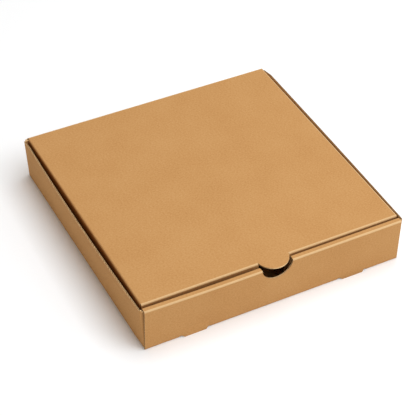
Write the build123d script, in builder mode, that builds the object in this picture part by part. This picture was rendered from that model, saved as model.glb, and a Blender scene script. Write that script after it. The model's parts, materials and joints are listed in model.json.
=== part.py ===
# Closed kraft pizza box, die-cut and folded from one sheet of corrugated board.
# The box stands on its base with the front at -Y and the lid's fold at +Y.
# The sheet is two solids, because the lid turns on the fold above the back wall:
# the tray (base, side walls with corner flaps, back wall, rolled front wall) and
# the lid (panel, side flaps, front flap, thumb tongue).  Lengths in millimetres.
from build123d import *

import os
from math import asin, cos, degrees, radians, sin

# Outside sizes of the tray
box_width = 254.0
box_depth = 254.0
wall_height = 45.0

# Corrugated board, the outside radius of its folds and the slack between layers
board = 1.2
fold_radius = 1.5
layer_gap = 1.1

# Rolled front wall: slack at its raw ends, and between its inner panel and the base
front_end_gap = 0.6
inner_end_gap = 0.8
inner_floor_gap = 0.4

# Locks along the front crease: a lip on the wall, a slot in the base, a tab in the slot
lock_spacing = 156.0
lip_length = 25.0
lip_angle = 32.0
tab_length = 18.0
slot_clearance = 0.4
slot_end_clearance = 2.5

# Corner flaps on the side walls, trapped in the front wall and behind the back wall
corner_flap_length = 42.0
corner_flap_taper = 5.0
corner_slack = 0.2
flap_clearance = 0.5
rear_bevel_length = 14.0

# Thumb notch through the front wall, cut deeper in its inner panel
notch_radius = 15.5
notch_depth = 13.8
inner_notch_depth = 22.0

# Back wall: its fold lies a little lower than the side walls and its corners are cut away
hinge_drop = 0.8
back_end_inset = 1.2
back_corner_width = 2.6
back_corner_height = 5.0

# Lid; its flaps lean in from the upright, so that they slip past the walls
side_gap = 1.2
front_gap = 1.8
lid_rise = 1.2
front_flap_depth = 30.0
front_flap_taper = 6.0
side_flap_depth = 34.0
side_flap_taper = 14.0
flap_lean = 8.0
corner_relief = 0.5
hinge_gap = 0.4

# Thumb tongue, cut out of the front flap and lying in the plane of the lid;
# below the tongue's own hole the flap is cut away down to its edge
tongue_radius = 15.0
tongue_reach = 11.4
tongue_kerf = 0.3
thumb_gap = 28.0

# Places that follow from the sizes above
half_width = box_width / 2
half_depth = box_depth / 2
wall_inside = half_width - board
ledge_depth = 3 * board + 2 * layer_gap
inner_face = ledge_depth - half_depth
under_ledge = wall_height - board - flap_clearance

# The lid turns on the outer skin, half way round the fold above the back wall
half_fold = 45.0
crown = fold_radius * (1 - sin(radians(half_fold)))
hinge_y = half_depth - crown
hinge_z = wall_height - hinge_drop - crown

# Hinge to front face of the lid, and half its width
lid_length = hinge_y - inner_face - front_gap
lid_half = wall_inside - side_gap
lid_tilt = asin((hinge_drop + lid_rise) / lid_length)

# Side walls, each bent from one strip with its front and rear corner flaps
corner_y = half_depth - board - corner_slack
flap_end = corner_flap_length - half_width
rear_flap_top = wall_height - hinge_drop - board - flap_clearance

with BuildPart() as side_walls:
    with BuildSketch(Plane.XY.offset(fold_radius)):
        with BuildLine():
            FilletPolyline(
                (flap_end, corner_y),
                (-half_width, corner_y),
                (-half_width, -corner_y),
                (flap_end, -corner_y),
                radius=fold_radius,
            )
            offset(amount=board, side=Side.LEFT)
        make_face()
        mirror(about=Plane.YZ)
    extrude(amount=wall_height - fold_radius)
    # The front flaps duck under the ledge
    with BuildSketch(Plane.XY.offset(under_ledge)):
        with Locations((0, -half_depth)):
            Rectangle(2 * wall_inside, 2 * (ledge_depth + flap_clearance))
    extrude(amount=wall_height, mode=Mode.SUBTRACT)
    # The rear flaps stay below the lid
    with BuildSketch(Plane.XY.offset(rear_flap_top)):
        with Locations((0, half_depth)):
            Rectangle(2 * wall_inside, 2 * (half_depth - corner_y + board + flap_clearance))
    extrude(amount=wall_height, mode=Mode.SUBTRACT)
    # The walls' tops slope down at the rear, below the lid's fold
    with BuildSketch(Plane.YZ):
        with BuildLine():
            Polyline(
                (corner_y - rear_bevel_length, wall_height),
                (corner_y, wall_height),
                (corner_y, rear_flap_top),
                close=True,
            )
        make_face()
    extrude(amount=half_width, both=True, mode=Mode.SUBTRACT)
    # The flaps' lower edges rise towards their free ends
    with BuildSketch(Plane.XZ):
        with BuildLine():
            Polyline(
                (flap_end, fold_radius),
                (flap_end, fold_radius + corner_flap_taper),
                (fold_radius - half_width, fold_radius),
                close=True,
            )
        make_face()
        mirror(about=Plane.YZ)
    extrude(amount=half_depth, both=True, mode=Mode.SUBTRACT)

with BuildPart() as tray:
    # Base, with a quarter fold up to each side wall
    with BuildSketch():
        Rectangle(box_width - 2 * fold_radius, box_depth - 2 * fold_radius)
    extrude(amount=board)
    with BuildSketch(Plane.XZ):
        with BuildLine():
            JernArc((half_width - fold_radius, 0), (1, 0), fold_radius, 90)
            offset(amount=board, side=Side.LEFT)
        make_face()
        mirror(about=Plane.YZ)
    extrude(amount=corner_y - fold_radius, both=True)
    add(side_walls.part)

    # Back wall, up to half of the fold that carries the lid
    with BuildSketch(Plane.YZ):
        with BuildLine():
            back_foot = JernArc((half_depth - fold_radius, 0), (1, 0), fold_radius, 90)
            back_face = Line(back_foot @ 1, (half_depth, wall_height - hinge_drop - fold_radius))
            JernArc(back_face @ 1, back_face % 1, fold_radius, half_fold)
            offset(amount=board, side=Side.LEFT)
        make_face()
    extrude(amount=half_width - back_end_inset, both=True)
    with BuildSketch(Plane.XZ.offset(-half_depth)):
        with BuildLine():
            Polyline(
                (half_width - back_corner_width, wall_height),
                (half_width, wall_height),
                (half_width, wall_height - hinge_drop - back_corner_height),
                close=True,
            )
        make_face()
        mirror(about=Plane.YZ)
    extrude(amount=board + corner_slack / 2, mode=Mode.SUBTRACT)

    # Rolled front wall: outer panel and ledge
    with BuildSketch(Plane.YZ):
        with BuildLine():
            front_foot = JernArc((fold_radius - half_depth, 0), (-1, 0), fold_radius, -90)
            front_face = Line(front_foot @ 1, (-half_depth, wall_height - fold_radius))
            brow = JernArc(front_face @ 1, front_face % 1, fold_radius, -90)
            Line(brow @ 1, (inner_face - fold_radius, wall_height))
            offset(amount=board, side=Side.RIGHT)
        make_face()
    extrude(amount=wall_inside - front_end_gap, both=True)
    # Thumb notch through the outer panel and the ledge
    with BuildSketch(Plane.XZ.offset(half_depth)):
        with Locations((0, wall_height - notch_depth + notch_radius)):
            Circle(notch_radius)
    extrude(amount=-(ledge_depth + layer_gap), mode=Mode.SUBTRACT)
    # Slots in the base and in the front crease
    with BuildSketch():
        with Locations((0, -half_depth)):
            with GridLocations(lock_spacing, 0, 2, 1):
                Rectangle(lip_length + 2 * slot_end_clearance, 2 * (ledge_depth + slot_clearance))
    extrude(amount=fold_radius, mode=Mode.SUBTRACT)
    # Lips left standing in the plane of the front wall
    with BuildSketch(Plane.XZ.offset(half_depth)):
        with Locations((0, fold_radius / 2)):
            with GridLocations(lock_spacing, 0, 2, 1):
                Trapezoid(lip_length, fold_radius, lip_angle, rotation=180)
    extrude(amount=-board)
    # Inner panel, folded down from the ledge to the base
    with BuildSketch(Plane.YZ):
        with BuildLine():
            turn = JernArc((inner_face - fold_radius, wall_height), (1, 0), fold_radius, -90)
            Line(turn @ 1, (inner_face, board + inner_floor_gap))
            offset(amount=board, side=Side.RIGHT)
        make_face()
    extrude(amount=wall_inside - inner_end_gap, both=True)
    # Its own, deeper thumb notch
    with BuildSketch(Plane.XZ.offset(-inner_face)):
        with Locations((0, wall_height - inner_notch_depth + notch_radius)):
            Circle(notch_radius)
            Rectangle(2 * notch_radius, inner_notch_depth, align=(Align.CENTER, Align.MIN))
    extrude(amount=fold_radius, mode=Mode.SUBTRACT)
    # Its tabs go down through the slots
    with BuildSketch():
        with Locations((0, inner_face - board / 2)):
            with GridLocations(lock_spacing, 0, 2, 1):
                Rectangle(tab_length, board)
    extrude(amount=board + inner_floor_gap)

# Planes of the closed lid, which rises a little towards the front
hinge = (0, hinge_y, hinge_z)
lid_back = (0, cos(lid_tilt), -sin(lid_tilt))
lid_up = (0, sin(lid_tilt), cos(lid_tilt))
lid_forward = (0, -cos(lid_tilt), sin(lid_tilt))
lid_side = Plane(origin=hinge, x_dir=lid_back, z_dir=(1, 0, 0))
lid_front = Plane(origin=hinge, x_dir=(1, 0, 0), z_dir=lid_forward)
lid_top = Plane(origin=hinge, x_dir=(1, 0, 0), z_dir=lid_up)

# Front fold and front flap, tucked behind the front wall
tongue_set = tongue_radius - tongue_reach
flap_top = crown - fold_radius

with BuildPart() as front_flap:
    flap_foot = crown - front_flap_depth
    with BuildSketch(lid_side):
        with BuildLine():
            front_fold = JernArc((fold_radius - lid_length, crown), (-1, 0), fold_radius, 90 + flap_lean)
            PolarLine(front_fold @ 1, front_flap_depth - fold_radius, direction=front_fold % 1)
            offset(amount=board, side=Side.LEFT)
        make_face()
    extrude(amount=lid_half - corner_relief, both=True)
    # Hole that the tongue leaves in the fold
    with BuildSketch(lid_front.offset(lid_length)):
        with Locations((0, crown + tongue_set)):
            Circle(tongue_radius + tongue_kerf)
    extrude(amount=-front_flap_depth, mode=Mode.SUBTRACT)
    # Room for the thumb below it, and tapered ends
    with BuildSketch(lid_front.offset(lid_length)):
        with Locations((0, flap_top)):
            Rectangle(thumb_gap, front_flap_depth, align=(Align.CENTER, Align.MAX))
        with BuildLine():
            Polyline(
                (lid_half, flap_top),
                (lid_half, flap_foot),
                (lid_half - front_flap_taper, flap_foot),
                close=True,
            )
        make_face()
        mirror(about=Plane.YZ)
    extrude(amount=-front_flap_depth, mode=Mode.SUBTRACT)

# Side folds and side flaps, from just clear of the rear corner flaps to the front fold
side_flap_rear = hinge_y - corner_y + board + flap_clearance
side_flap_front = lid_length - fold_radius - corner_relief

with BuildPart() as side_flaps:
    with BuildSketch(lid_front.offset(side_flap_rear)):
        with BuildLine():
            side_start = (lid_half - fold_radius, crown)
            side_fold = JernArc(side_start, (1, 0), fold_radius, -90 - flap_lean)
            PolarLine(side_fold @ 1, side_flap_depth - fold_radius, direction=side_fold % 1)
            offset(amount=board, side=Side.RIGHT)
        make_face()
        mirror(about=Plane.YZ)
    extrude(amount=side_flap_front - side_flap_rear)
    # Tapered ends
    side_foot = crown - side_flap_depth
    with BuildSketch(lid_side):
        with BuildLine():
            Polyline(
                (-side_flap_rear, flap_top),
                (-side_flap_rear, side_foot),
                (-side_flap_rear - side_flap_taper, side_foot),
                close=True,
            )
        make_face()
        with BuildLine():
            Polyline(
                (-side_flap_front, flap_top),
                (-side_flap_front, side_foot),
                (-side_flap_front + side_flap_taper, side_foot),
                close=True,
            )
        make_face()
    extrude(amount=lid_half, both=True, mode=Mode.SUBTRACT)

with BuildPart() as lid:
    # Panel, with the other half of the rear fold
    hinge_play = degrees(hinge_gap / fold_radius)
    with BuildSketch(lid_side):
        with BuildLine():
            top = Line((fold_radius - lid_length, crown), (crown - fold_radius, crown))
            JernArc(top @ 1, top % 1, fold_radius, hinge_play - half_fold)
            offset(amount=board, side=Side.RIGHT)
        make_face()
    extrude(amount=lid_half - fold_radius, both=True)
    # Its heel runs out to the side walls, behind the side flaps
    with BuildSketch(lid_side):
        with BuildLine():
            heel = Line((corner_relief - side_flap_rear, crown), (crown - fold_radius, crown))
            JernArc(heel @ 1, heel % 1, fold_radius, hinge_play - half_fold)
            offset(amount=board, side=Side.RIGHT)
        make_face()
    extrude(amount=lid_half - corner_relief, both=True)
    add(front_flap.part)
    add(side_flaps.part)
    # Thumb tongue
    with BuildSketch(lid_top.offset(crown)):
        with Locations((0, tongue_set - lid_length)):
            Circle(tongue_radius)
    extrude(amount=-board)

tray.part.label = "tray"
lid.part.label = "lid"
os.makedirs("parts", exist_ok=True)
export_step(tray.part, "parts/tray.step")
export_step(lid.part, "parts/lid.step")
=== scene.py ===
import json
import math

import bmesh
import bpy
from bpy.props import FloatProperty, FloatVectorProperty, IntProperty, PointerProperty, StringProperty
from mathutils import Matrix, Vector
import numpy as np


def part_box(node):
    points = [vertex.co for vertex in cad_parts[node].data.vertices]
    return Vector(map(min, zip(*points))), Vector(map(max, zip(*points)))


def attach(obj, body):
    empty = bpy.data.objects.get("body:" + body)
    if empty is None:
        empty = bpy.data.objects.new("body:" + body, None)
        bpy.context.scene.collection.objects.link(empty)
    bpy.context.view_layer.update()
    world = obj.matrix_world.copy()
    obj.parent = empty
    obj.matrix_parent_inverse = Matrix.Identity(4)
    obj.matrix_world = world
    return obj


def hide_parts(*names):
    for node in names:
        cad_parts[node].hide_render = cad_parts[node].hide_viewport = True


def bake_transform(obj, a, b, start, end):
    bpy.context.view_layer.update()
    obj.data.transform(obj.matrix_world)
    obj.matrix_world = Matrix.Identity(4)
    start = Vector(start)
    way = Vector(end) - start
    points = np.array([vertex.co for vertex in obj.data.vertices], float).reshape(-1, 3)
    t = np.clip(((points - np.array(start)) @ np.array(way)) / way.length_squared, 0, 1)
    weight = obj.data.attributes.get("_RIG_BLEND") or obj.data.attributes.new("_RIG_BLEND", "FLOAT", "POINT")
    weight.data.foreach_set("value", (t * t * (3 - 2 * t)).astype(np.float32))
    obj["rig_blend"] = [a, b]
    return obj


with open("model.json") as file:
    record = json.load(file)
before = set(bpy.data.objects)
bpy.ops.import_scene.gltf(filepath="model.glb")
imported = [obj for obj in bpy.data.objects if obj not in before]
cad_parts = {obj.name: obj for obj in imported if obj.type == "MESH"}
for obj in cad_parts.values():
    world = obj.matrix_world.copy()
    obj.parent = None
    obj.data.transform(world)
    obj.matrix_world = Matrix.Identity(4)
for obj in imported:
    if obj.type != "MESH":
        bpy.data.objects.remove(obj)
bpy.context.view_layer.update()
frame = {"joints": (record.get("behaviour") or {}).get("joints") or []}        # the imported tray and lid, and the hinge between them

bl_info = {
    "name": "Kraft Pizza Box",
    "version": (1, 0, 0),
    "blender": (4, 5, 0),
    "location": "3D View > Sidebar > Pizza Box",
    "description": "Folds a kraft pizza box out of one die-cut sheet of corrugated board",
    "category": "Object",
}


def mm(value):
    """Millimetres as the scene's metres."""
    return value * 0.001


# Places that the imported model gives
TRAY_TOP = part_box("tray")[1]
LID_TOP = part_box("lid")[1]
HINGE = Vector(frame["joints"][0]["pos_m"])

# The fold's skin stands this far behind the hinge's axis, and as far above it
CROWN = TRAY_TOP.y - HINGE.y

# Outlines meet within this distance
TOUCH = mm(0.005)

# A panel is square to an axis when this share of its normal lies along it
SQUARE = 0.999

# Marks of a fold's faces: plain, and painted pale, partly as paper rubbed where hands and boxes touch it and
# partly as painted highlight
BENT, RUBBED_AND_HIGHLIT = 1, 2


# Settings


class PizzaBoxBoard(bpy.types.PropertyGroup):
    """The corrugated board and how it folds."""

    thickness: FloatProperty(
        name="Thickness", description="Liner to liner, one thin flute between them",
        default=mm(1.2), min=mm(0.5), unit="LENGTH",
    )
    flute_pitch: FloatProperty(
        name="Flute pitch", description="Crest to crest of the fluted paper inside the board",
        default=mm(3.4), min=mm(1.0), unit="LENGTH",
    )
    fold_radius: FloatProperty(
        name="Fold radius", description="Outside radius of every crease",
        default=mm(1.5), min=mm(1.3), unit="LENGTH",
    )
    fold_steps: IntProperty(
        name="Fold steps", description="Faces round a quarter fold", default=8, min=2,
    )
    layer_gap: FloatProperty(
        name="Layer gap", description="Slack between two layers of the rolled front wall",
        default=mm(1.1), min=0.0, unit="LENGTH",
    )
    flap_gap: FloatProperty(
        name="Flap gap", description="Slack between a flap's edge and the panel over it",
        default=mm(0.5), min=0.0, unit="LENGTH",
    )


class PizzaBoxTray(bpy.types.PropertyGroup):
    """The tray: base, walls, rolled front."""

    front_end_gap: FloatProperty(
        name="Front end gap", description="Slack between an end of the rolled front and a side wall",
        default=mm(0.6), min=0.0, unit="LENGTH",
    )
    back_end_inset: FloatProperty(
        name="Back end inset", description="How far the ends of the back wall stay inside the box's width",
        default=mm(1.2), min=0.0, unit="LENGTH",
    )
    inner_end_gap: FloatProperty(
        name="Inner end gap", description="Slack between the rolled front's inner panel and a side wall",
        default=mm(0.8), min=0.0, unit="LENGTH",
    )
    inner_floor_gap: FloatProperty(
        name="Inner floor gap", description="Slack between the inner panel and the base",
        default=mm(0.4), min=0.0, unit="LENGTH",
    )
    lock_spacing: FloatProperty(
        name="Lock spacing", description="From one front lock to the other",
        default=mm(156.0), min=mm(60.0), unit="LENGTH",
    )
    lip_length: FloatProperty(
        name="Lip length", description="Length of the lip at each lock",
        default=mm(25.0), min=mm(8.0), unit="LENGTH",
    )
    lip_angle: FloatProperty(
        name="Lip angle", description="Slope of the lip's ends",
        default=math.radians(32.0), min=math.radians(10.0), subtype="ANGLE",
    )
    tab_length: FloatProperty(
        name="Tab length", description="Length of the tab that goes down into each slot",
        default=mm(18.0), min=mm(5.0), unit="LENGTH",
    )
    slot_gap: FloatProperty(
        name="Slot gap", description="Room behind the tab in its slot",
        default=mm(0.4), min=0.0, unit="LENGTH",
    )
    slot_end_gap: FloatProperty(
        name="Slot end gap", description="How much longer a slot is than its lip, at each end",
        default=mm(2.5), min=0.0, unit="LENGTH",
    )
    corner_flap: FloatProperty(
        name="Corner flap", description="Length of the flaps at the ends of the side walls",
        default=mm(42.0), min=mm(10.0), unit="LENGTH",
    )
    corner_taper: FloatProperty(
        name="Corner taper", description="How far a corner flap's lower edge rises to its free end",
        default=mm(5.0), min=0.0, unit="LENGTH",
    )
    corner_slack: FloatProperty(
        name="Corner slack", description="Room between a corner flap and the panel that hides it",
        default=mm(0.2), min=0.0, unit="LENGTH",
    )
    notch_radius: FloatProperty(
        name="Notch radius", description="Radius of the thumb notch in the front",
        default=mm(15.5), min=mm(5.0), unit="LENGTH",
    )
    notch_depth: FloatProperty(
        name="Notch depth", description="How far the thumb notch reaches down",
        default=mm(13.8), min=mm(2.0), unit="LENGTH",
    )
    inner_notch: FloatProperty(
        name="Inner notch", description="How far the notch in the rolled front's inner panel reaches down",
        default=mm(22.0), min=mm(2.0), unit="LENGTH",
    )
    hinge_drop: FloatProperty(
        name="Hinge drop", description="How much lower the back wall is than the side walls",
        default=mm(0.8), min=0.0, unit="LENGTH",
    )
    back_corner_width: FloatProperty(
        name="Back corner width", description="Width of the cut at the back wall's top corners",
        default=mm(2.6), min=mm(1.0), unit="LENGTH",
    )
    back_corner_height: FloatProperty(
        name="Back corner height", description="Height of that cut below the back wall's fold",
        default=mm(5.0), min=mm(1.0), unit="LENGTH",
    )
    rear_bevel: FloatProperty(
        name="Rear bevel", description="Length of the slope at the rear end of a side wall's top",
        default=mm(14.0), min=mm(0.5), unit="LENGTH",
    )
    bow: FloatVectorProperty(
        name="Bow", description="How far the tops of the left and the right wall have bowed out",
        size=2, default=(mm(1.9), mm(0.5)), unit="LENGTH",
    )
    left_lean: FloatVectorProperty(
        name="Left lean", description="How far the left wall's top leans out at its rear and front end",
        size=2, default=(mm(0.9), mm(1.0)), unit="LENGTH",
    )
    right_lean: FloatVectorProperty(
        name="Right lean", description="How far the right wall's top leans out at its rear and front end",
        size=2, default=(mm(1.8), mm(1.0)), unit="LENGTH",
    )
    foot_inset: FloatProperty(
        name="Foot inset", description="How far the left wall's foot has been pulled in",
        default=mm(1.8), unit="LENGTH",
    )
    corner_slit: FloatProperty(
        name="Corner slit", description="How far the left wall's front bend sits back from the front",
        default=mm(1.3), unit="LENGTH",
    )
    front_drift: FloatProperty(
        name="Front drift", description="How far the rolled front lies to the right of the middle",
        default=mm(0.6), unit="LENGTH",
    )
    lip_flare: FloatProperty(
        name="Lip flare", description="How far the feet of the lips have been pressed out",
        default=mm(1.2), unit="LENGTH",
    )
    front_bulge: FloatProperty(
        name="Front bulge", description="How far the rolled front's top stands out left of the notch",
        default=mm(1.3), unit="LENGTH",
    )


class PizzaBoxLid(bpy.types.PropertyGroup):
    """The lid: panel, tuck flaps and thumb tongue."""

    rise: FloatProperty(
        name="Rise", description="How far the lid's front edge stands above the side walls",
        default=mm(1.2), min=0.0, unit="LENGTH",
    )
    front_flap: FloatProperty(
        name="Front flap", description="Depth of the flap tucked behind the front wall",
        default=mm(30.0), min=mm(5.0), unit="LENGTH",
    )
    front_taper: FloatProperty(
        name="Front taper", description="How far the front flap's ends slope in",
        default=mm(6.0), min=0.0, unit="LENGTH",
    )
    side_flap: FloatProperty(
        name="Side flap", description="Depth of the flaps tucked behind the side walls",
        default=mm(34.0), min=mm(5.0), unit="LENGTH",
    )
    side_taper: FloatProperty(
        name="Side taper", description="How far the side flaps' ends slope in",
        default=mm(14.0), min=0.0, unit="LENGTH",
    )
    flap_lean: FloatProperty(
        name="Flap lean", description="How far the flaps are folded in past the upright",
        default=math.radians(13.0), subtype="ANGLE",
    )
    corner_relief: FloatProperty(
        name="Corner relief", description="Slit between the front flap and a side flap",
        default=mm(0.5), min=mm(0.1), unit="LENGTH",
    )
    front_gap: FloatProperty(
        name="Front gap", description="Room between the lid's front fold and the rolled front",
        default=mm(1.8), min=mm(0.3), unit="LENGTH",
    )
    tongue_radius: FloatProperty(
        name="Tongue radius", description="Radius of the thumb tongue's tip",
        default=mm(15.0), min=mm(5.0), unit="LENGTH",
    )
    tongue_reach: FloatProperty(
        name="Tongue reach", description="How far the tongue stands out from the lid's front",
        default=mm(11.4), min=mm(2.0), unit="LENGTH",
    )
    tongue_kerf: FloatProperty(
        name="Tongue kerf", description="Width of the cut round the tongue",
        default=mm(0.3), min=mm(0.1), unit="LENGTH",
    )
    thumb_gap: FloatProperty(
        name="Thumb gap", description="Width of the gap in the front flap below the tongue's hole",
        default=mm(28.0), min=mm(5.0), unit="LENGTH",
    )
    twist: FloatProperty(
        name="Twist", description="How far the front left corner has risen and the right one sunk",
        default=mm(0.4), unit="LENGTH",
    )
    drift: FloatVectorProperty(
        name="Drift", description="How far the lid lies to the right of the middle, at its rear and front",
        size=2, default=(mm(1.85), mm(0.9)), unit="LENGTH",
    )
    spread: FloatVectorProperty(
        name="Spread", description="How far each side fold has rolled out, at its rear and front",
        size=2, default=(mm(0.65), mm(0.55)), unit="LENGTH",
    )


class PizzaBoxFinish(bpy.types.PropertyGroup):
    """Colours of the board, as sRGB hex values."""

    kraft: StringProperty(name="Kraft", description="Main colour of the liner", default="#BF8E58")
    kraft_pale: StringProperty(name="Pale fibre", description="Lighter fibres", default="#C99C68")
    kraft_dark: StringProperty(name="Dark fibre", description="Darker fibres", default="#AF7C48")
    # Pale colour painted on the rubbed folds: stretched paper and painted highlight in one
    crease: StringProperty(name="Crease", description="Stretched paper on a fold", default="#DDBB8C")
    edge_paper: StringProperty(name="Edge paper", description="Torn paper at a cut edge", default="#E2BC8A")
    # Dark colour painted into the flute hollows as painted shade
    edge_hollow_shade: StringProperty(name="Edge hollow", description="Inside of the flutes", default="#5E3D1C")


class PizzaBoxStage(bpy.types.PropertyGroup):
    """Camera, light and floor."""

    azimuth: FloatProperty(
        name="Azimuth", description="Turn of the camera round the box, from straight in front",
        default=math.radians(-28.572), subtype="ANGLE",
    )
    elevation: FloatProperty(
        name="Elevation", description="Height of the camera above the floor",
        default=math.radians(41.583), subtype="ANGLE",
    )
    roll: FloatProperty(
        name="Roll", description="Turn of the camera about its own line of sight",
        default=math.radians(1.475), subtype="ANGLE",
    )
    distance: FloatProperty(
        name="Distance", description="From the middle of the base to the camera",
        default=1.334148, unit="LENGTH",
    )
    aim: FloatVectorProperty(
        name="Aim", description="Camera's step to its own right and up",
        size=2, default=(0.001039, 0.00667), unit="LENGTH",
    )
    lens: FloatProperty(
        name="Lens", description="Focal length for a square picture on a 36 mm sensor",
        default=124.82, unit="CAMERA",
    )
    key_power: FloatProperty(
        name="Key power", description="Power of the large soft box overhead", default=27.6, unit="POWER",
    )
    key_colour: StringProperty(name="Key colour", description="A slightly cool daylight", default="#F4F9FF")
    front_power: FloatProperty(
        name="Front power", description="Power of the panel at the right front", default=8.0, unit="POWER",
    )
    sky_strength: FloatProperty(
        name="Sky strength", description="Level of the even light from all round", default=0.40,
    )
    sky_colour: StringProperty(name="Sky colour", description="A slightly warm room", default="#FFF7EC")
    floor_colour: StringProperty(name="Floor", description="Colour of the table", default="#FBFBFB")


# Shared modelling steps


def near(a, b):
    """True where two coordinates are the same place."""
    return abs(a - b) < TOUCH


def between(pair, share):
    """The value at this share of the way from the first to the second."""
    return pair[0] + (pair[1] - pair[0]) * share


def inner_face(board):
    """Where the rolled front's inner panel faces the pizza."""
    return 3 * board.thickness + 2 * board.layer_gap - TRAY_TOP.y


def corner_bend(board, tray):
    """How far from the middle a side wall starts to bend into its corner flaps."""
    return TRAY_TOP.y - board.thickness - tray.corner_slack - board.fold_radius


def new_sheet():
    """An empty mesh with the marks that the board's materials read."""
    bm = bmesh.new()
    bm.faces.layers.int.new("bent")
    bm.verts.layers.float.new("fold_line")
    bm.verts.layers.float.new("depth")
    bm.loops.layers.uv.new("blank")
    bm.loops.layers.float.new("open_flutes")
    return bm


def panel(bm, corners):
    """One flat panel, from the corners of its outline."""
    bm.faces.new([bm.verts.new(corner) for corner in corners])


def arc(centre, radius, start, end, steps=24):
    """A round stretch of an outline, both ends included."""
    turn = (end - start) / steps
    angles = [start + turn * step for step in range(steps + 1)]
    return [(centre[0] + radius * math.cos(a), centre[1] + radius * math.sin(a)) for a in angles]


def edges_where(bm, test):
    """Edges whose two ends both pass the test."""
    return [edge for edge in bm.edges if all(test(vert.co) for vert in edge.verts)]


def ends_of(edges):
    """The vertices of some edges, each once and in order."""
    return list(dict.fromkeys(vert for edge in edges for vert in edge.verts))


def fold(bm, edges, centre, axis, degrees, steps, rubbed_and_highlit=False):
    """Bends the board on from these edges, and returns the edges that it ends in."""
    bent = bm.faces.layers.int["bent"]
    flat = set(bm.faces)
    swept = bmesh.ops.spin(
        bm, geom=ends_of(edges) + edges, cent=centre, axis=axis,
        angle=math.radians(degrees), steps=steps,
    )
    for face in bm.faces:
        if face not in flat:
            # Rubbed folds are painted pale: partly worn paper, partly painted highlight
            face[bent] = RUBBED_AND_HIGHLIT if rubbed_and_highlit else BENT
    return [item for item in swept["geom_last"] if isinstance(item, bmesh.types.BMEdge)]


def run_on(bm, edges, step):
    """Carries the board straight on from these edges, and returns its new corners."""
    grown = bmesh.ops.extrude_edge_only(bm, edges=edges)["geom"]
    moved = [item for item in grown if isinstance(item, bmesh.types.BMVert)]
    bmesh.ops.translate(bm, verts=moved, vec=step)
    return moved


def slice_panels(bm, normal, places, test):
    """Cuts the flat panels that pass the test across, so that they can bend."""
    for place in places:
        faces = [face for face in bm.faces if test(face)]
        edges = list(dict.fromkeys(edge for face in faces for edge in face.edges))
        verts = list(dict.fromkeys(vert for face in faces for vert in face.verts))
        bmesh.ops.bisect_plane(
            bm, geom=verts + edges + faces, dist=TOUCH, plane_co=place, plane_no=normal,
        )


def join_outside(bm, outward):
    """Joins panels and folds to one skin whose largest panel faces outward."""
    bmesh.ops.remove_doubles(bm, verts=bm.verts[:], dist=TOUCH)
    bmesh.ops.recalc_face_normals(bm, faces=bm.faces[:])
    bm.normal_update()
    largest = max(bm.faces, key=lambda face: face.calc_area())
    if largest.normal.dot(Vector(outward)) < 0:
        bmesh.ops.reverse_faces(bm, faces=bm.faces[:])
        bm.normal_update()


def map_blank(bm):
    """Lays the skin out in metres, with the flutes along v: they run from side to side."""
    blank = bm.loops.layers.uv["blank"]
    for face in bm.faces:
        side = abs(face.normal.x) > max(abs(face.normal.y), abs(face.normal.z))
        upright = abs(face.normal.y) > abs(face.normal.z)
        for loop in face.loops:
            x, y, z = loop.vert.co
            loop[blank].uv = (y, z) if side else (z, x) if upright else (y, x)


def mark_cut(bm, face, skin):
    """Notes how squarely a cut edge crosses the flutes: 1 straight across, 0 along them."""
    blank = bm.loops.layers.uv["blank"]
    open_flutes = bm.loops.layers.float["open_flutes"]
    ends = [loop[blank].uv for loop in face.loops if loop.vert in skin]
    run = ends[-1] - ends[0]
    share = abs(run.x) / max(run.length, TOUCH)
    for loop in face.loops:
        loop[open_flutes] = share


def give_board(bm, thickness):
    """Gives the skin the board's thickness and marks creases, depth and cut edges."""
    bent = bm.faces.layers.int["bent"]
    fold_line = bm.verts.layers.float["fold_line"]
    depth = bm.verts.layers.float["depth"]
    for vert in bm.verts:
        # The middle of a rubbed fold gets the pale fold paint: partly worn paper, partly painted highlight
        vert[fold_line] = float(all(face[bent] == RUBBED_AND_HIGHLIT for face in vert.link_faces))
    bm.normal_update()
    skin = set(bm.verts)
    bmesh.ops.solidify(bm, geom=bm.faces[:], thickness=thickness)
    for vert in bm.verts:
        vert[depth] = 0.0 if vert in skin else 1.0
    for face in bm.faces:
        layers = {vert in skin for vert in face.verts}
        face.material_index = len(layers) - 1
        face.smooth = bool(face[bent]) and len(layers) == 1
        if len(layers) == 2:
            mark_cut(bm, face, skin)
    for edge in bm.edges:
        edge.smooth = all(face.smooth for face in edge.link_faces)
    bmesh.ops.recalc_face_normals(bm, faces=bm.faces[:])


def finish_sheet(bm, name, finish, pitch):
    """Turns the mesh into a piece in its two finishes."""
    mesh = bpy.data.meshes.new(name)
    bm.to_mesh(mesh)
    bm.free()
    mesh.materials.append(kraft_liner(finish, pitch))
    mesh.materials.append(cut_flutes(finish, pitch))
    piece = bpy.data.objects.new(name, mesh)
    bpy.context.scene.collection.objects.link(piece)
    return piece


# Materials


def linear(code):
    """An sRGB hex value as a linear colour."""
    shares = [int(code[i:i + 2], 16) / 255 for i in (1, 3, 5)]
    return [s / 12.92 if s <= 0.04045 else ((s + 0.055) / 1.055) ** 2.4 for s in shares] + [1.0]


def add_node(tree, kind, inputs=None, **settings):
    """Adds a node with its settings, and links or sets its inputs."""
    made = tree.nodes.new(kind)
    for name, value in settings.items():
        setattr(made, name, value)
    for socket, source in (inputs or {}).items():
        if isinstance(source, bpy.types.NodeSocket):
            tree.links.new(source, made.inputs[socket])
        else:
            made.inputs[socket].default_value = source
    return made


def new_material(name):
    """An empty node material."""
    material = bpy.data.materials.new(name)
    material.use_nodes = True
    material.node_tree.nodes.clear()
    return material


def flute_wave(tree, blank, pitch):
    """Swings from -1 to 1 and back across each flute of the board."""
    turns = add_node(tree, "ShaderNodeMapping", {
        "Vector": blank, "Scale": (math.tau / pitch, 1.0, 1.0),
    }).outputs["Vector"]
    across = add_node(tree, "ShaderNodeSeparateXYZ", {"Vector": turns}).outputs["X"]
    return add_node(tree, "ShaderNodeMath", {0: across}, operation="SINE").outputs[0]


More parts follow.
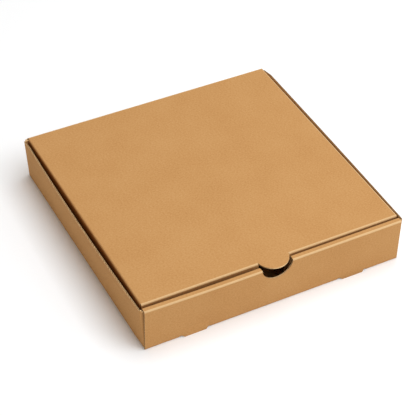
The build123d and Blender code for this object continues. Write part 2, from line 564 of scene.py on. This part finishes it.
def kraft_liner(finish, pitch):
    """Uncoated unbleached kraft paper, machine made: matt, warm brown, with a fine fibre
    mottle, soft clouds, faint ribs where the flutes print through, and creases painted
    pale, partly as stretched paper and partly as painted highlight."""
    name = "uncoated_kraft_liner"
    if name in bpy.data.materials:
        return bpy.data.materials[name]
    material = new_material(name)
    tree = material.node_tree
    place = add_node(tree, "ShaderNodeTexCoord").outputs["Object"]
    blank = add_node(tree, "ShaderNodeUVMap", uv_map="blank").outputs["UV"]
    fold_line = add_node(tree, "ShaderNodeAttribute", attribute_name="fold_line").outputs["Fac"]

    # Single fibres are too fine to show, so clumps of them are drawn
    fibre_width, fibre_length, speck_width = mm(1.2), mm(1.8), mm(1.6)
    cloud_width = mm(38.0)
    crease_wear_and_highlight, rib_share, relief_depth = 0.7, 0.5, mm(0.08)
    along = add_node(tree, "ShaderNodeMapping", {
        "Vector": blank, "Scale": (1 / fibre_width, 1 / fibre_length, 1.0),
    }).outputs["Vector"]
    fibre = add_node(tree, "ShaderNodeTexNoise", {
        "Vector": along, "Scale": 1.0, "Detail": 3.0, "Roughness": 0.65,
    }).outputs["Fac"]
    cloud = add_node(tree, "ShaderNodeTexNoise", {
        "Vector": place, "Scale": 1 / cloud_width, "Detail": 3.0, "Roughness": 0.55,
    }).outputs["Fac"]
    speck = add_node(tree, "ShaderNodeTexNoise", {
        "Vector": place, "Scale": 1 / speck_width, "Detail": 2.0, "Roughness": 0.6,
    }).outputs["Fac"]

    weave = add_node(tree, "ShaderNodeMapRange", {
        "Value": fibre, "From Min": 0.25, "From Max": 0.75, "To Min": 0.2, "To Max": 0.8,
    }).outputs["Result"]
    patch = add_node(tree, "ShaderNodeMapRange", {
        "Value": cloud, "From Min": 0.3, "From Max": 0.7, "To Min": -0.07, "To Max": 0.07,
    }).outputs["Result"]
    mottle = add_node(tree, "ShaderNodeMath", {0: weave, 1: patch}, operation="ADD").outputs[0]
    tones = add_node(tree, "ShaderNodeValToRGB", {"Fac": mottle})
    tones.color_ramp.elements[0].position = 0.1
    tones.color_ramp.elements[0].color = linear(finish.kraft_dark)
    tones.color_ramp.elements[1].position = 0.9
    tones.color_ramp.elements[1].color = linear(finish.kraft_pale)
    tones.color_ramp.elements.new(0.5).color = linear(finish.kraft)
    spots = add_node(tree, "ShaderNodeMapRange", {
        "Value": speck, "From Min": 0.66, "From Max": 0.8, "To Min": 0.0, "To Max": 0.35,
    }).outputs["Result"]
    paper = add_node(tree, "ShaderNodeMix", {
        "Factor": spots, "A": tones.outputs["Color"], "B": linear(finish.kraft_dark),
    }, data_type="RGBA").outputs["Result"]
    # Folds are painted paler: partly rubbed paper, partly painted highlight
    worn_and_highlit = add_node(tree, "ShaderNodeMath", {0: fold_line, 1: crease_wear_and_highlight}, operation="MULTIPLY").outputs[0]
    colour = add_node(tree, "ShaderNodeMix", {
        "Factor": worn_and_highlit, "A": paper, "B": linear(finish.crease),
    }, data_type="RGBA").outputs["Result"]

    rib = flute_wave(tree, blank, pitch)
    rib_height = add_node(tree, "ShaderNodeMath", {0: rib, 1: rib_share}, operation="MULTIPLY").outputs[0]
    relief = add_node(tree, "ShaderNodeMath", {0: rib_height, 1: fibre}, operation="ADD").outputs[0]
    bump = add_node(tree, "ShaderNodeBump", {
        "Height": relief, "Strength": 0.35, "Distance": relief_depth,
    }).outputs["Normal"]
    matt = add_node(tree, "ShaderNodeMapRange", {
        "Value": fibre, "From Min": 0.2, "From Max": 0.8, "To Min": 0.74, "To Max": 0.9,
    }).outputs["Result"]
    shader = add_node(tree, "ShaderNodeBsdfPrincipled", {
        "Base Color": colour, "Roughness": matt, "Normal": bump,
        "IOR": 1.45, "Specular IOR Level": 0.12,
    })
    add_node(tree, "ShaderNodeOutputMaterial", {"Surface": shader.outputs["BSDF"]})
    return material


def cut_flutes(finish, pitch):
    """The die-cut edge of the board.  A cut across the flutes shows two pale liners with the
    fluted paper waving between them and hollows painted dark as painted shade, which from a
    step away reads as a dull brown line.  A cut along the flutes is crushed shut and reads as a thin pale
    line."""
    name = "die_cut_corrugated_edge"
    if name in bpy.data.materials:
        return bpy.data.materials[name]
    material = new_material(name)
    tree = material.node_tree
    place = add_node(tree, "ShaderNodeTexCoord").outputs["Object"]
    blank = add_node(tree, "ShaderNodeUVMap", uv_map="blank").outputs["UV"]
    depth = add_node(tree, "ShaderNodeAttribute", attribute_name="depth").outputs["Fac"]
    open_flutes = add_node(tree, "ShaderNodeAttribute", attribute_name="open_flutes").outputs["Fac"]

    # Shares of the board's thickness
    flute_swing, flute_paper, liner_paper = 0.34, 0.16, 0.17
    wave = flute_wave(tree, blank, pitch)
    middle = add_node(tree, "ShaderNodeMath", {0: wave, 1: flute_swing, 2: 0.5},
                      operation="MULTIPLY_ADD").outputs[0]
    apart = add_node(tree, "ShaderNodeMath", {0: depth, 1: middle}, operation="SUBTRACT").outputs[0]
    distance = add_node(tree, "ShaderNodeMath", {0: apart}, operation="ABSOLUTE").outputs[0]
    flute = add_node(tree, "ShaderNodeMapRange", {
        "Value": distance, "From Min": 0.5 * flute_paper, "From Max": flute_paper,
        "To Min": 1.0, "To Max": 0.0,
    }).outputs["Result"]
    centred = add_node(tree, "ShaderNodeMath", {0: depth, 1: 0.5}, operation="SUBTRACT").outputs[0]
    outward = add_node(tree, "ShaderNodeMath", {0: centred}, operation="ABSOLUTE").outputs[0]
    liner = add_node(tree, "ShaderNodeMapRange", {
        "Value": outward, "From Min": 0.5 - liner_paper, "From Max": 0.5 - 0.5 * liner_paper,
        "To Min": 0.0, "To Max": 1.0,
    }).outputs["Result"]
    web = add_node(tree, "ShaderNodeMath", {0: flute, 1: liner}, operation="MAXIMUM").outputs[0]

    # How full of paper an open and a crushed cut look, and how squarely an open one crosses the flutes
    open_fill, crushed_fill, least_open, fully_open = 0.65, 0.9, 0.3, 0.9
    woven = add_node(tree, "ShaderNodeMath", {0: web, 1: open_fill}, operation="MULTIPLY").outputs[0]
    crushed = add_node(tree, "ShaderNodeMapRange", {
        "Value": open_flutes, "From Min": least_open, "From Max": fully_open,
        "To Min": crushed_fill, "To Max": 0.0,
    }).outputs["Result"]
    paper = add_node(tree, "ShaderNodeMath", {0: woven, 1: crushed}, operation="MAXIMUM").outputs[0]

    # Torn tufts, drawn coarser than they are so that they show
    tuft_width, tuft_height = mm(1.1), mm(0.3)
    tufts = add_node(tree, "ShaderNodeTexNoise", {
        "Vector": place, "Scale": 1 / tuft_width, "Detail": 3.0, "Roughness": 0.7,
    }).outputs["Fac"]
    torn = add_node(tree, "ShaderNodeMapRange", {
        "Value": tufts, "From Min": 0.3, "From Max": 0.7, "To Min": -0.25, "To Max": 0.45,
    }).outputs["Result"]
    frayed = add_node(tree, "ShaderNodeMath", {0: paper, 1: torn}, operation="ADD", use_clamp=True).outputs[0]

    # Painted shade: cut edges near the right wall's top show less paper and more of the dark hollow colour,
    # so the right rim reads dark like the shaded gap beside the lid
    rim_shade_start_x, rim_shade_full_x, rim_shade_floor = TRAY_TOP.x - mm(9.0), TRAY_TOP.x - mm(3.0), 0.45
    right = add_node(tree, "ShaderNodeSeparateXYZ", {"Vector": place}).outputs["X"]
    painted_rim_shade = add_node(tree, "ShaderNodeMapRange", {
        "Value": right, "From Min": rim_shade_start_x, "From Max": rim_shade_full_x, "To Min": 1.0, "To Max": rim_shade_floor,
    }).outputs["Result"]
    fill = add_node(tree, "ShaderNodeMath", {0: frayed, 1: painted_rim_shade}, operation="MULTIPLY").outputs[0]
    # Where no paper shows, the dark hollow colour stands in as painted shade
    colour = add_node(tree, "ShaderNodeMix", {
        "Factor": fill, "A": linear(finish.edge_hollow_shade), "B": linear(finish.edge_paper),
    }, data_type="RGBA").outputs["Result"]
    bump = add_node(tree, "ShaderNodeBump", {
        "Height": fill, "Strength": 0.5, "Distance": tuft_height,
    }).outputs["Normal"]
    shader = add_node(tree, "ShaderNodeBsdfPrincipled", {
        "Base Color": colour, "Normal": bump, "Roughness": 0.92,
        "IOR": 1.45, "Specular IOR Level": 0.15,
    })
    add_node(tree, "ShaderNodeOutputMaterial", {"Surface": shader.outputs["BSDF"]})
    return material


def matt_table(colour):
    """Matt white laminate: an even, clean white that keeps the box's soft shadow."""
    material = new_material("matt_white_table")
    tree = material.node_tree
    shader = add_node(tree, "ShaderNodeBsdfPrincipled", {
        "Base Color": linear(colour), "Roughness": 1.0, "Specular IOR Level": 0.0,
    })
    add_node(tree, "ShaderNodeOutputMaterial", {"Surface": shader.outputs["BSDF"]})
    return material


# Pieces


class PIZZABOX_OT_fold_tray(bpy.types.Operator):
    """Fold the tray: base, side walls with corner flaps, back wall and rolled front"""

    bl_idname = "pizza_box.fold_tray"
    bl_label = "Fold the tray"

    def execute(self, context):
        scene = context.scene
        board, tray = scene.pizza_box_board, scene.pizza_box_tray
        bm = new_sheet()
        self.lay_base(bm, board, tray)
        self.roll_front(bm, board, tray)
        self.raise_back(bm, board, tray, LID_TOP.x - scene.pizza_box_lid.corner_relief)
        for side in (-1, 1):
            self.raise_side(bm, board, tray, side)
        join_outside(bm, outward=(0, 0, -1))
        map_blank(bm)
        self.bow_sides(bm, board, tray)
        self.bulge_front(bm, board, tray)
        give_board(bm, board.thickness)
        piece = finish_sheet(bm, "tray_sheet", scene.pizza_box_finish, board.flute_pitch)
        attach(piece, "tray")
        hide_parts("tray")
        return {"FINISHED"}

    @staticmethod
    def front_end(board, tray):
        """Half the width of the rolled front."""
        return TRAY_TOP.x - board.thickness - tray.front_end_gap

    @staticmethod
    def locks(tray, length):
        """Both ends of a stretch of this length at each front lock."""
        centres = (-tray.lock_spacing / 2, tray.lock_spacing / 2)
        return [(centre - length / 2, centre + length / 2) for centre in centres]

    def lay_base(self, bm, board, tray):
        """The base, with a slot for each front lock and the folds up to every wall."""
        radius = board.fold_radius
        half_x, half_y = TRAY_TOP.x - radius, TRAY_TOP.y - radius
        front_x = self.front_end(board, tray)
        side_y = corner_bend(board, tray)
        slot_y = inner_face(board) + tray.slot_gap
        front = [(-front_x, -half_y)]
        for low, high in self.locks(tray, tray.lip_length + 2 * tray.slot_end_gap):
            front += [(low, -half_y), (low, slot_y), (high, slot_y), (high, -half_y)]
        right = [(front_x, -half_y), (half_x, -side_y), (half_x, side_y), (half_x, half_y)]
        left = [(-half_x, half_y), (-half_x, side_y), (-half_x, -side_y)]
        panel(bm, [(x, y, 0) for x, y in front + right + left])

        on_front = edges_where(
            bm, lambda p: near(p.y, -half_y) and near(p.z, 0) and abs(p.x) < front_x + TOUCH
        )
        fold(bm, on_front, (0, -half_y, radius), (1, 0, 0), -90, board.fold_steps)
        on_back = edges_where(bm, lambda p: near(p.y, half_y) and near(p.z, 0))
        fold(bm, on_back, (0, half_y, radius), (1, 0, 0), 90, board.fold_steps)
        for side in (-1, 1):
            on_side = edges_where(
                bm, lambda p: near(p.x, side * half_x) and near(p.z, 0) and abs(p.y) < side_y + TOUCH
            )
            fold(bm, on_side, (side * half_x, 0, radius), (0, 1, 0), -90 * side, board.fold_steps)

    def roll_front(self, bm, board, tray):
        """The front wall, rolled over its ledge and down again inside, with its locks and notch."""
        radius, height = board.fold_radius, TRAY_TOP.z
        end_x = self.front_end(board, tray)
        inner_x = TRAY_TOP.x - board.thickness - tray.inner_end_gap
        front_y, inner_y = -TRAY_TOP.y, inner_face(board)
        notch_z = height - tray.notch_depth + tray.notch_radius
        brow_z = height - radius
        dip = math.asin((brow_z - notch_z) / tray.notch_radius)
        notch = arc((0, notch_z), tray.notch_radius, dip, -math.pi - dip)
        notch_x = notch[0][0]

        # Outer panel, with a lip at each lock
        lip_slope = radius / math.tan(tray.lip_angle)
        slots = self.locks(tray, tray.lip_length + 2 * tray.slot_end_gap)
        foot = [(-end_x, radius)]
        for (left, right), (low, high) in zip(slots, self.locks(tray, tray.lip_length)):
            foot += [(left, radius), (low, radius), (low + lip_slope, 0)]
            foot += [(high - lip_slope, 0), (high, radius), (right, radius)]
        foot += [(end_x, radius)]
        outline = foot + [(end_x, brow_z)] + notch + [(-end_x, brow_z)]
        panel(bm, [(x, front_y, z) for x, z in outline])
        on_brow = edges_where(bm, lambda p: near(p.y, front_y) and near(p.z, brow_z))
        # The brow is painted pale: rubbed paper and painted highlight
        fold(bm, on_brow, (0, front_y + radius, brow_z), (1, 0, 0), -90, board.fold_steps, rubbed_and_highlit=True)

        # Ledge, in two halves beside the notch
        turn_y = inner_y - radius
        for side in (-1, 1):
            ledge = [
                (end_x, front_y + radius), (end_x, turn_y), (inner_x, turn_y),
                (tray.notch_radius, turn_y), (notch_x, front_y + radius),
            ]
            panel(bm, [(side * x, y, height) for x, y in ledge])
        on_turn = edges_where(
            bm, lambda p: near(p.y, turn_y) and near(p.z, height) and abs(p.x) < inner_x + TOUCH
        )
        fold(bm, on_turn, (0, turn_y, brow_z), (1, 0, 0), -90, board.fold_steps)

        # Inner panel, with a tab at each lock and a deeper notch
        floor_z = board.thickness + tray.inner_floor_gap
        foot = [(-inner_x, floor_z)]
        for low, high in self.locks(tray, tray.tab_length):
            foot += [(low, floor_z), (low, 0), (high, 0), (high, floor_z)]
        foot += [(inner_x, floor_z)]
        inner_notch_z = height - tray.inner_notch + tray.notch_radius
        notch = arc((0, inner_notch_z), tray.notch_radius, 0, -math.pi)
        notch = [(tray.notch_radius, brow_z)] + notch + [(-tray.notch_radius, brow_z)]
        outline = foot + [(inner_x, brow_z)] + notch + [(-inner_x, brow_z)]
        panel(bm, [(x, inner_y, z) for x, z in outline])

    def raise_back(self, bm, board, tray, crease_x):
        """The back wall, up to the crease that carries the lid, with its corners cut off."""
        radius = board.fold_radius
        half_x = TRAY_TOP.x - radius
        end_x = TRAY_TOP.x - tray.back_end_inset
        fold_z = TRAY_TOP.z - tray.hinge_drop - radius
        cut_start = TRAY_TOP.x - tray.back_corner_width
        cut_slope = (tray.hinge_drop + tray.back_corner_height) / tray.back_corner_width
        cut_x = cut_start + (TRAY_TOP.z - fold_z) / cut_slope
        cut_z = TRAY_TOP.z - (end_x - cut_start) * cut_slope
        half = [
            (half_x, radius), (end_x, radius), (end_x, cut_z), (cut_x, fold_z), (crease_x, fold_z),
        ]
        outline = half + [(-x, z) for x, z in reversed(half)]
        panel(bm, [(x, TRAY_TOP.y, z) for x, z in outline])

    def raise_side(self, bm, board, tray, side):
        """One side wall with its front and rear corner flaps."""
        radius, height = board.fold_radius, TRAY_TOP.z
        wall_x = TRAY_TOP.x
        bend_y = corner_bend(board, tray)
        under_ledge = height - board.thickness - board.flap_gap
        rear_top = height - tray.hinge_drop - board.thickness - board.flap_gap
        outline = [
            (-bend_y, radius), (-bend_y, under_ledge), (-bend_y, height),
            (bend_y + radius - tray.rear_bevel, height), (bend_y, rear_top), (bend_y, radius),
        ]
        panel(bm, [(side * wall_x, y, z) for y, z in outline])
        reach = tray.corner_flap - radius
        steps = board.fold_steps
        for end in (-1, 1):
            on_end = edges_where(bm, lambda p: near(p.x, side * wall_x) and near(p.y, end * bend_y))
            lower = [edge for edge in on_end if any(near(vert.co.z, radius) for vert in edge.verts)]
            upper = [edge for edge in on_end if edge not in lower]
            centre = (side * (wall_x - radius), end * bend_y, 0)
            turn = 90 * side * end
            start = fold(bm, lower, centre, (0, 0, 1), turn, steps)
            # No flap hangs on the bend beside the ledge, so it stops a step short
            if upper:
                fold(bm, upper, centre, (0, 0, 1), turn * (steps - 1) / steps, steps - 1)
            for vert in run_on(bm, start, (-side * reach, 0, 0)):
                if near(vert.co.z, radius):
                    vert.co.z += tray.corner_taper

    def bow_sides(self, bm, board, tray):
        """Lets the side walls lean and bow out, the left one with its foot drawn in and its
        front bend set back."""
        radius = board.fold_radius
        bend_x = TRAY_TOP.x - radius
        span = corner_bend(board, tray)
        slices = 18
        places = [(0, -span + 2 * span * i / slices, 0) for i in range(1, slices)]
        slice_panels(bm, (0, 1, 0), places, lambda face: abs(face.normal.x) > SQUARE)
        for vert in bm.verts:
            x, y, z = vert.co
            in_front = y < -span - radius - TOUCH
            if abs(x) < bend_x - TOUCH or in_front:
                continue
            up = max(0.0, (z - radius) / (TRAY_TOP.z - radius))
            if x < 0:
                vert.co.x += tray.foot_inset * (1 - up)
                vert.co.y += tray.corner_slit if up > 0 and y < TOUCH - span else 0
            if y > span + radius + TOUCH:
                continue
            ends, bow = (tray.left_lean, tray.bow[0]) if x < 0 else (tray.right_lean, tray.bow[1])
            ahead = (span - y) / (2 * span)
            lean = between(ends, ahead) + bow * max(0.0, 1 - (y / span) ** 2)
            round_bend = min(1.0, (abs(x) - bend_x) / radius)
            vert.co.x += math.copysign(lean * up * round_bend, x)

    def bulge_front(self, bm, board, tray):
        """Moves the rolled front sideways, with its lips pressed out and its top bulging."""
        end_x, inner_y = self.front_end(board, tray), inner_face(board)
        notch_x = tray.notch_radius

        def in_front(face):
            """True for the panels and bends that run along the rolled front."""
            return face.calc_center_median().y < inner_y + TOUCH and abs(face.normal.x) < 0.5

        # The bulge is full some way before the notch, and grows faster than the height
        haste, height_power = 1.3, 1.5
        columns, rows = 14, 4
        places = [(-end_x + (end_x + notch_x) * i / columns, 0, 0) for i in range(1, columns + 1)]
        slice_panels(bm, (1, 0, 0), places, in_front)
        places = [(0, 0, TRAY_TOP.z * i / (rows + 1)) for i in range(1, rows + 1)]
        slice_panels(bm, (0, 0, 1), places, lambda face: in_front(face) and abs(face.normal.y) > SQUARE)
        for vert in bm.verts:
            x, y, z = vert.co
            if y < inner_y + tray.slot_gap + TOUCH and abs(x) < end_x + TOUCH:
                vert.co.x += tray.front_drift
            if y < TOUCH - TRAY_TOP.y and z < TOUCH:
                vert.co.y -= tray.lip_flare
            if y < inner_y + TOUCH and abs(x) < end_x and z > board.fold_radius:
                out = math.sin(min(1.0, haste * (x + end_x) / (end_x - notch_x)) * math.pi / 2)
                fade = min(1.0, max(0.0, (notch_x - x) / (2 * notch_x)))
                vert.co.y -= tray.front_bulge * out * fade * (z / TRAY_TOP.z) ** height_power


class PIZZABOX_OT_fold_lid(bpy.types.Operator):
    """Fold the lid: panel, side flaps, front flap and the thumb tongue cut out of it"""

    bl_idname = "pizza_box.fold_lid"
    bl_label = "Fold the lid"

    def execute(self, context):
        scene = context.scene
        board, tray, lid = scene.pizza_box_board, scene.pizza_box_tray, scene.pizza_box_lid
        bm = new_sheet()
        length = self.panel_length(board, lid)
        # The side flaps start clear of the tray's rear corner flaps
        rear = 2 * board.thickness + tray.corner_slack + board.flap_gap - CROWN
        ends = rear, length - board.fold_radius - lid.corner_relief
        self.lay_panel(bm, board, lid, length, ends)
        self.tuck_front(bm, board, lid, length)
        self.tuck_sides(bm, board, lid, ends)
        join_outside(bm, outward=(0, 0, 1))
        map_blank(bm)
        self.warp(bm, lid, length)
        # The shut panel climbs from its low fold to its front edge
        tilt = math.asin((tray.hinge_drop + lid.rise) / length)
        shut = Matrix.Translation(HINGE) @ Matrix.Rotation(-tilt, 4, "X")
        bmesh.ops.transform(bm, matrix=shut, verts=bm.verts[:])
        give_board(bm, board.thickness)
        piece = finish_sheet(bm, "lid_sheet", scene.pizza_box_finish, board.flute_pitch)
        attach(piece, "lid")
        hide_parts("lid")
        return {"FINISHED"}

    @staticmethod
    def panel_length(board, lid):
        """Hinge to front face."""
        return HINGE.y - inner_face(board) - lid.front_gap

    def lay_panel(self, bm, board, lid, length, ends):
        """The lid's panel with its tongue, level and with the hinge at the origin."""
        radius = board.fold_radius
        flat_x = LID_TOP.x - radius
        ear_x = LID_TOP.x - lid.corner_relief
        fold_y = radius - length
        rear, front = ends
        heel_y = lid.corner_relief - rear
        tongue_y = lid.tongue_radius - lid.tongue_reach - length
        root = math.asin((fold_y - tongue_y) / lid.tongue_radius)
        tongue = arc((0, tongue_y), lid.tongue_radius, root, -math.pi - root)
        right = [
            (ear_x, CROWN - radius), (ear_x, heel_y), (flat_x, heel_y), (flat_x, -rear),
            (flat_x, -front), (ear_x, -front), (ear_x, fold_y),
        ]
        left = [(-x, y) for x, y in reversed(right)]
        panel(bm, [(x, y, CROWN) for x, y in right + tongue + left])

    def tuck_front(self, bm, board, lid, length):
        """The front flap, in two halves beside the gap for the thumb."""
        radius, lean = board.fold_radius, lid.flap_lean
        ear_x = LID_TOP.x - lid.corner_relief
        fold_y, fold_z = radius - length, CROWN - radius
        # The tongue's centre lies this far behind the lid's front face
        tongue_set = lid.tongue_radius - lid.tongue_reach
        root_x = math.sqrt(lid.tongue_radius ** 2 - (radius - tongue_set) ** 2)
        on_front = edges_where(bm, lambda p: near(p.y, fold_y) and abs(p.x) > root_x - TOUCH)
        turn = 90 + math.degrees(lean)
        # The lid's front fold is painted pale: rubbed paper and painted highlight
        fold(bm, on_front, (0, fold_y, fold_z), (1, 0, 0), turn, board.fold_steps, rubbed_and_highlit=True)

        top_y, top_z = fold_y - radius * math.cos(lean), fold_z - radius * math.sin(lean)
        foot_z = top_z - (lid.front_flap - radius) * math.cos(lean)
        taper_z = fold_z - (fold_z - foot_z) * lid.corner_relief / lid.front_taper
        gap_x, hole_radius = lid.thumb_gap / 2, lid.tongue_radius + lid.tongue_kerf
        gap_z = CROWN + tongue_set - math.sqrt(hole_radius ** 2 - gap_x ** 2)
        half = [
            (root_x, top_z), (ear_x, top_z), (ear_x, taper_z),
            (LID_TOP.x - lid.front_taper, foot_z), (gap_x, foot_z), (gap_x, gap_z),
        ]
        for side in (-1, 1):
            panel(bm, [(side * x, top_y + (top_z - z) * math.tan(lean), z) for x, z in half])

    def tuck_sides(self, bm, board, lid, ends):
        """The side flaps, with tapered ends; the right one's crease is painted pale, partly as rubbed paper
        and partly as painted highlight where it faces the light.
        """
        radius, lean = board.fold_radius, lid.flap_lean
        flat_x, fold_z = LID_TOP.x - radius, CROWN - radius
        rear, front = ends
        reach = lid.side_flap - radius
        top_x, top_z = flat_x + radius * math.cos(lean), fold_z - radius * math.sin(lean)
        foot_x, foot_z = top_x - reach * math.sin(lean), top_z - reach * math.cos(lean)
        for side in (-1, 1):
            on_side = edges_where(
                bm, lambda p: near(p.x, side * flat_x) and -front - TOUCH < p.y < -rear + TOUCH
            )
            turn = side * (90 + math.degrees(lean))
            centre = (side * flat_x, 0, fold_z)
            # Only the right fold, which faces the light, gets the pale fold paint: painted highlight, partly
            # also rubbed paper
            fold(bm, on_side, centre, (0, 1, 0), turn, board.fold_steps, rubbed_and_highlit=side > 0)
            flap = [
                (top_x, -rear, top_z), (top_x, -front, top_z),
                (foot_x, lid.side_taper - front, foot_z), (foot_x, -rear - lid.side_taper, foot_z),
            ]
            panel(bm, [(side * x, y, z) for x, y, z in flap])

    def warp(self, bm, lid, length):
        """Twists the panel a little, lets it drift and lets its side folds roll out."""
        cells = 12
        middle = Vector((0, -length / 2, 0))
        step_x, step_y = Vector((2 * LID_TOP.x / cells, 0, 0)), Vector((0, length / cells, 0))
        for normal, step in (((1, 0, 0), step_x), ((0, 1, 0), step_y)):
            places = [middle + step * (i - cells / 2) for i in range(1, cells)]
            slice_panels(bm, normal, places, lambda face: face.normal.z > SQUARE)
        for vert in bm.verts:
            share = min(1.0, max(0.0, -vert.co.y / length))
            across = vert.co.x / LID_TOP.x
            vert.co.z -= lid.twist * share * across
            vert.co.x += between(lid.drift, share) + between(lid.spread, share) * across


class PIZZABOX_OT_crease_hinge(bpy.types.Operator):
    """Bend the crease that carries the lid on the back wall"""

    bl_idname = "pizza_box.crease_hinge"
    bl_label = "Crease the hinge"

    def execute(self, context):
        scene = context.scene
        board, tray, lid = scene.pizza_box_board, scene.pizza_box_tray, scene.pizza_box_lid
        radius = board.fold_radius
        half_x = LID_TOP.x - lid.corner_relief
        fold_y, fold_z = TRAY_TOP.y - radius, TRAY_TOP.z - tray.hinge_drop - radius
        start = Vector((0, TRAY_TOP.y, fold_z))
        end = Vector((0, fold_y, fold_z + radius))
        bm = new_sheet()
        ends = [bm.verts.new((x, start.y, start.z)) for x in (-half_x, half_x)]
        edge = bm.edges.new(ends)
        # The hinge crease is painted pale: rubbed paper and painted highlight
        fold(bm, [edge], (0, fold_y, fold_z), (1, 0, 0), 90, 2 * board.fold_steps, rubbed_and_highlit=True)
        join_outside(bm, outward=(0, 1, 1))
        map_blank(bm)
        for vert in bm.verts:
            aside = lid.drift[0] + lid.spread[0] * vert.co.x / LID_TOP.x
            vert.co.x += aside * (vert.co.z - fold_z) / radius
        give_board(bm, board.thickness)
        piece = finish_sheet(bm, "hinge_crease", scene.pizza_box_finish, board.flute_pitch)
        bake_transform(piece, "tray", "lid", start=tuple(start), end=tuple(end))
        return {"FINISHED"}


class PIZZABOX_OT_set_stage(bpy.types.Operator):
    """Set the white table, the soft light and the camera"""

    bl_idname = "pizza_box.set_stage"
    bl_label = "Set the stage"

    def execute(self, context):
        scene = context.scene
        stage = scene.pizza_box_stage
        scene.view_settings.view_transform = "Standard"
        self.lay_table(scene, stage)
        self.hang_light(scene, stage)
        self.place_camera(scene, stage)
        return {"FINISHED"}

    def lay_table(self, scene, stage):
        """A wide white table just under the box."""
        half_width, gap = 4.0, mm(0.1)
        bm = bmesh.new()
        bmesh.ops.create_grid(bm, x_segments=1, y_segments=1, size=half_width)
        bmesh.ops.translate(bm, verts=bm.verts[:], vec=(0, 0, -gap))
        mesh = bpy.data.meshes.new("table")
        bm.to_mesh(mesh)
        bm.free()
        mesh.materials.append(matt_table(stage.floor_colour))
        table = bpy.data.objects.new("table", mesh)
        scene.collection.objects.link(table)

    def hang_light(self, scene, stage):
        """A large soft box overhead, a panel at the right front and an even glow from the room."""
        key_place, key_size, overhead = (0.35, -0.45, 1.5), (1.2, 2.4), (0.0, 0.0, 1.0)
        self.hang_panel(
            scene, "soft_box", key_place, overhead, key_size, stage.key_power, stage.key_colour,
        )
        front_distance, front_size = 1.9, (1.2, 1.2)
        ahead = Vector((1.0, -1.0, 1.0)).normalized()
        self.hang_panel(
            scene, "front_panel", ahead * front_distance, ahead, front_size,
            stage.front_power, stage.key_colour,
        )

        # Past the table's edge the room is seen as plain white
        world = bpy.data.worlds.new("studio")
        world.use_nodes = True
        tree = world.node_tree
        tree.nodes.clear()
        rays = add_node(tree, "ShaderNodeLightPath")
        glow = add_node(tree, "ShaderNodeBackground", {
            "Color": linear(stage.sky_colour), "Strength": stage.sky_strength,
        })
        seen = add_node(tree, "ShaderNodeBackground", {"Color": linear("#FFFFFF"), "Strength": 1.0})
        mixed = add_node(tree, "ShaderNodeMixShader", {
            "Fac": rays.outputs["Is Camera Ray"], 1: glow.outputs[0], 2: seen.outputs[0],
        })
        add_node(tree, "ShaderNodeOutputWorld", {"Surface": mixed.outputs[0]})
        scene.world = world

    @staticmethod
    def hang_panel(scene, name, place, away, size, power, colour):
        """One flat rectangular light whose back points away from the box."""
        lamp = bpy.data.lights.new(name, "AREA")
        lamp.shape = "RECTANGLE"
        lamp.size, lamp.size_y = size
        lamp.energy = power
        lamp.color = linear(colour)[:3]
        light = bpy.data.objects.new(name, lamp)
        light.location = place
        light.rotation_euler = Vector(away).to_track_quat("Z", "Y").to_euler()
        scene.collection.objects.link(light)

    def place_camera(self, scene, stage):
        """The camera, turned about the middle of the base."""
        turn, lift, roll = stage.azimuth, stage.elevation, stage.roll
        back = Vector((
            math.sin(turn) * math.cos(lift), -math.cos(turn) * math.cos(lift), math.sin(lift),
        ))
        level = Vector((math.cos(turn), math.sin(turn), 0))
        upright = back.cross(level)
        right = level * math.cos(roll) + upright * math.sin(roll)
        up = upright * math.cos(roll) - level * math.sin(roll)
        data = bpy.data.cameras.new("camera")
        data.lens = stage.lens
        data.sensor_width = 36.0
        camera = bpy.data.objects.new("camera", data)
        spot = back * stage.distance + right * stage.aim[0] + up * stage.aim[1]
        axes = Matrix((right, up, back)).transposed().to_4x4()
        camera.matrix_world = Matrix.Translation(spot) @ axes
        scene.collection.objects.link(camera)
        scene.camera = camera


class PIZZABOX_PT_panel(bpy.types.Panel):
    """Lists the steps that fold the box and set its stage"""

    bl_idname = "PIZZABOX_PT_panel"
    bl_label = "Pizza Box"
    bl_space_type = "VIEW_3D"
    bl_region_type = "UI"
    bl_category = "Pizza Box"

    def draw(self, context):
        for step in STEPS:
            self.layout.operator(step.bl_idname)
        for name, group in SETTINGS.items():
            box = self.layout.box()
            for key in group.__annotations__:
                box.prop(getattr(context.scene, name), key)


SETTINGS = {
    "pizza_box_board": PizzaBoxBoard,
    "pizza_box_tray": PizzaBoxTray,
    "pizza_box_lid": PizzaBoxLid,
    "pizza_box_finish": PizzaBoxFinish,
    "pizza_box_stage": PizzaBoxStage,
}
STEPS = (
    PIZZABOX_OT_fold_tray,
    PIZZABOX_OT_fold_lid,
    PIZZABOX_OT_crease_hinge,
    PIZZABOX_OT_set_stage,
)
CLASSES = (*SETTINGS.values(), *STEPS, PIZZABOX_PT_panel)


def register():
    for cls in CLASSES:
        bpy.utils.register_class(cls)
    for name, group in SETTINGS.items():
        setattr(bpy.types.Scene, name, PointerProperty(type=group))


def unregister():
    for name in SETTINGS:
        delattr(bpy.types.Scene, name)
    for cls in reversed(CLASSES):
        bpy.utils.unregister_class(cls)


def main():
    register()
    bpy.ops.pizza_box.fold_tray()
    bpy.ops.pizza_box.fold_lid()
    bpy.ops.pizza_box.crease_hinge()
    bpy.ops.pizza_box.set_stage()


if __name__ == "__main__":
    main()
